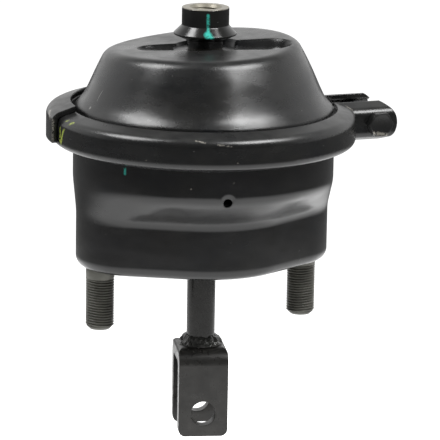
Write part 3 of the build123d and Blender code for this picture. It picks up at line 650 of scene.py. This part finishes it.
paint_dome = gloss_paint(
    "paint_dome", edge=3.0 * MM, dusty=0.22, rough=(0.17, 0.37), wave=0.17,
    marks=((DOME_SCRATCH, 0.18, 0.14, SCUFF), (DOME_SPOT, 0.7, 0.5, SPOT)))
paint_front = gloss_paint(
    "paint_band_front", edge=1.3 * MM, dusty=0.3, rough=(0.18, 0.36), wave=0.16,
    marks=tuple((points, 0.85, 0.45, LIME) for points in LIME_STROKES),
    bare=tuple((points, 0.28, 0.3) for points in RING_RUBS + LUG_RUBS))
# The rear band's bare-steel strokes at the hook are a painted highlight
paint_rear = gloss_paint(
    "paint_band_rear", edge=1.3 * MM, dusty=0.4, rough=(0.18, 0.36), wave=0.16,
    bare=tuple((points, 0.7, 0.7) for points in HOOK_PAINTED_HIGHLIGHT))
paint_body = gloss_paint(
    "paint_body", edge=1.4 * MM, marks=((TEAL_DRIP, 0.7, 0.45, TEAL),),
    bare=tuple((points, 0.35, 0.3) for points in BODY_NICKS))
paint_bolt = gloss_paint(
    "paint_bolt", edge=0.5 * MM, rough=(0.2, 0.4),
    bare=((BOLT_EDGE, 0.7, 0.7), (BOLT_CORNER, 0.8, 0.6)))
paint_boss = gloss_paint(
    "paint_boss", edge=0.5 * MM, dusty=0.1, rough=(0.12, 0.26), wave=0.05,
    marks=((TEAL_RUN, 0.75, 0.5, TEAL), (TEAL_BLOB, 1.9, 0.8, TEAL)))
bare_mouth(paint_boss)
coat_stud = dark_steel("coat_stud", tone=(0.066, 0.065, 0.055))
coat_rod = dark_steel("coat_rod", tone=(0.010, 0.0098, 0.0088), rough=(0.18, 0.34))
coat_weld = dark_steel("coat_weld", tone=(0.03, 0.03, 0.028), edge=0.3 * MM, rough=(0.12, 0.28))
coat_clevis = dark_steel("coat_clevis", tone=(0.017, 0.0165, 0.0152), edge=0.7 * MM, rough=(0.24, 0.42))
zinc = bare_steel("zinc_steel")
wire = bare_steel("spring_wire", tone=(0.3, 0.3, 0.3))
black_rubber = rubber("black_rubber")
white_nylon = nylon("white_nylon")

for dressed, its_material in (
        ("pressure_housing", paint_dome), ("boss_weld", paint_dome), ("clamp_band_front", paint_front),
        ("clamp_band_rear", paint_rear), ("clamp_nut", paint_bolt), ("non_pressure_housing", paint_body),
        ("reinforcement_plate", paint_body), ("rod_guide", white_nylon), ("dust_seal", black_rubber),
        ("seal_retainer", zinc), ("push_plate", zinc), ("plate_weld", zinc), ("push_rod", coat_rod),
        ("clevis", coat_clevis)):
    dress(dressed, its_material)


def soft_copy(name, node, material):
    """A rubber or spring piece in place of its CAD node."""
    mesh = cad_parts[node].data.copy()
    mesh.name = name
    piece = bpy.data.objects.new(name, mesh)
    bpy.context.scene.collection.objects.link(piece)
    mesh.materials.clear()
    mesh.materials.append(material)
    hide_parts(node)
    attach(piece, "chamber")
    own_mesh(piece)


soft_copy("return_spring_coil", "return_spring", wire)
soft_copy("diaphragm_rubber", "diaphragm", black_rubber)


def stand_for(piece, node, body="chamber"):
    """Puts a detailed piece in place of the plain solid of its node."""
    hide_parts(node)
    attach(piece, body)


for side, node in ((-1, "mounting_stud_left"), (1, "mounting_stud_right")):
    stand_for(threaded_stud(node + "_m16", side, coat_stud), node)
stand_for(threaded_bolt("clamp_bolt_m8", paint_bolt), "clamp_bolt")
stand_for(threaded_boss("inlet_boss_threaded", paint_boss), "inlet_boss")
stand_for(weld_bead("clevis_weld_bead", coat_weld), "clevis_weld", "push_rod_assembly")


# ---------------------------------------------------------------- floor, light and camera

def make_world():
    """White to the camera and behind the part, a dim room in reflections of the front, and soft fill."""
    world = bpy.data.worlds.new("studio")
    bpy.context.scene.world = world
    world.use_nodes = True
    nodes, links = world.node_tree.nodes, world.node_tree.links
    background = nodes["Background"]
    background.inputs["Color"].default_value = (1.0, 1.0, 1.0, 1.0)
    path = nodes.new("ShaderNodeLightPath")
    plain = math_node(nodes, links, "MAXIMUM", path.outputs["Is Camera Ray"],
                      path.outputs["Is Transmission Ray"])
    seen = math_node(nodes, links, "MAXIMUM", plain, path.outputs["Is Glossy Ray"])
    where = nodes.new("ShaderNodeTexCoord")
    front = Vector((math.cos(TOWARDS_CAMERA), math.sin(TOWARDS_CAMERA), 0.0))
    side = vector_node(nodes, links, "DOT_PRODUCT", where.outputs["Generated"], front)
    split = nodes.new("ShaderNodeSeparateXYZ")
    links.new(where.outputs["Generated"], split.inputs[0])
    backdrop = math_node(nodes, links, "MULTIPLY", ramp(nodes, links, side, *BACKDROP_SIDE),
                         ramp(nodes, links, split.outputs["Z"], *BACKDROP_HEIGHT))
    room = ramp(nodes, links, backdrop, 0.0, 1.0, ROOM_LEVEL, 1.0)
    mirrored = math_node(nodes, links, "MULTIPLY", path.outputs["Is Glossy Ray"], room)
    unseen = math_node(nodes, links, "SUBTRACT", 1.0, seen)
    fill = math_node(nodes, links, "MULTIPLY", unseen, WORLD_FILL)
    level = math_node(nodes, links, "ADD", math_node(nodes, links, "MAXIMUM", mirrored, plain), fill)
    links.new(level, background.inputs["Strength"])


def make_floor():
    """Pale floor under the clevis at full stroke, plain white to the camera outside the part's shadow."""
    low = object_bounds()[0].z - STROKE - FLOOR_GAP
    material, nodes, links, shader = new_material("floor_white")
    shader.inputs["Roughness"].default_value = 1.0
    shader.inputs["Specular IOR Level"].default_value = 0.0
    shader.inputs["Emission Color"].default_value = (1.0, 1.0, 1.0, 1.0)
    where = nodes.new("ShaderNodeTexCoord")
    reach = vector_node(nodes, links, "DISTANCE", where.outputs["Object"], Vector((0.0, 0.0, low)))
    far = ramp(nodes, links, reach, *TABLE_R)
    near_tone, far_tone = ((tone, tone, tone) for tone in FLOOR_TONE)
    links.new(mix_colour(nodes, links, far, near_tone, far_tone), shader.inputs["Base Color"])
    path = nodes.new("ShaderNodeLightPath")
    direct = math_node(nodes, links, "MAXIMUM", path.outputs["Is Camera Ray"],
                       path.outputs["Is Transmission Ray"])
    direct = math_node(nodes, links, "MULTIPLY", direct, ramp(nodes, links, far, 0.0, 1.0, *FLOOR_GLOW))
    mirrored = math_node(nodes, links, "MULTIPLY", path.outputs["Is Glossy Ray"],
                         ramp(nodes, links, far, 0.0, 1.0, *FLOOR_MIRRORED))
    links.new(math_node(nodes, links, "ADD", direct, mirrored), shader.inputs["Emission Strength"])
    half = FLOOR_HALF
    corners = [(-half, -half, low), (half, -half, low), (half, half, low), (-half, half, low)]
    new_piece("floor", corners, [(0, 1, 2, 3)], material, smooth=False)


def softbox(name, azimuth, elevation, width, height, power):
    """Rectangular lamp aimed at the dome."""
    a = TOWARDS_CAMERA + math.radians(azimuth)
    e = math.radians(elevation)
    way = Vector((math.cos(a) * math.cos(e), math.sin(a) * math.cos(e), math.sin(e)))
    light = bpy.data.lights.new(name, "AREA")
    light.shape = "RECTANGLE"
    light.size, light.size_y = width, height
    light.energy = power
    lamp = bpy.data.objects.new(name, light)
    lamp.location = LAMP_TARGET + way * LAMP_DISTANCE
    lamp.rotation_mode = "QUATERNION"
    lamp.rotation_quaternion = (-way).to_track_quat("-Z", "Y")
    bpy.context.scene.collection.objects.link(lamp)


def make_camera():
    data = bpy.data.cameras.new("camera")
    data.sensor_width = 36.0
    data.lens = CAMERA_LENS
    data.shift_x = CAMERA_SHIFT_X
    data.clip_end = 20.0
    camera = bpy.data.objects.new("camera", data)
    back = CAMERA_RIGHT.cross(CAMERA_UP)
    camera.matrix_world = Matrix((
        (CAMERA_RIGHT.x, CAMERA_UP.x, back.x, CAMERA_AT.x),
        (CAMERA_RIGHT.y, CAMERA_UP.y, back.y, CAMERA_AT.y),
        (CAMERA_RIGHT.z, CAMERA_UP.z, back.z, CAMERA_AT.z),
        (0.0, 0.0, 0.0, 1.0)))
    bpy.context.scene.collection.objects.link(camera)
    bpy.context.scene.camera = camera


make_world()
make_floor()
for lamp_values in LAMPS:
    softbox(*lamp_values)
make_camera()
bpy.context.scene.view_settings.view_transform = "Standard"
